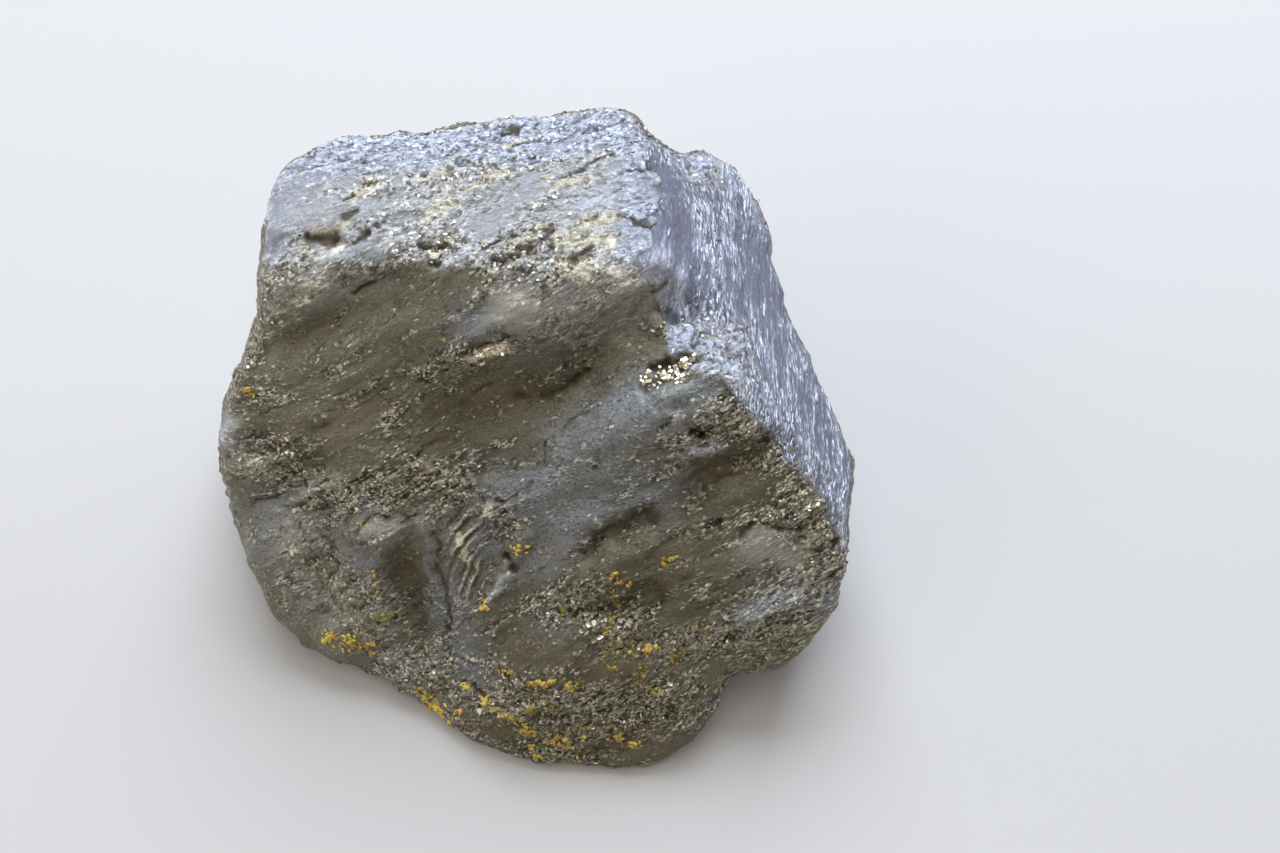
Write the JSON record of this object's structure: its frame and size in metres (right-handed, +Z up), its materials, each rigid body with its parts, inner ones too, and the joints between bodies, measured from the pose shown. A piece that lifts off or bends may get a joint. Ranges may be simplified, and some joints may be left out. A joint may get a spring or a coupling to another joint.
{
  "type": "graphite specimen",
  "caption": "Rough hand-sized lump of dark grey graphite with a level top, sloping front, striated side face, flat resting base and specks of ochre crust.",
  "frame": {"origin": "under the middle of the lump's bounding box, on the flat face it rests on", "axes": "+Z up from the resting face, +X to the right along the longest extent, -Y towards the long front slope"},
  "size_m": [0.1, 0.09, 0.0578],
  "materials": {
    "graphite": "dark grey, submetallic, partly granular and partly smooth",
    "graphite_flakes": "bright submetallic flakes",
    "pale_crystals": "small pale golden glittering crystals",
    "ochre_crust": "matt ochre and yellow mineral crust"
  },
  "bodies": {
    "root": {"graphite_lump": "graphite"}
  },
  "joints": []
}
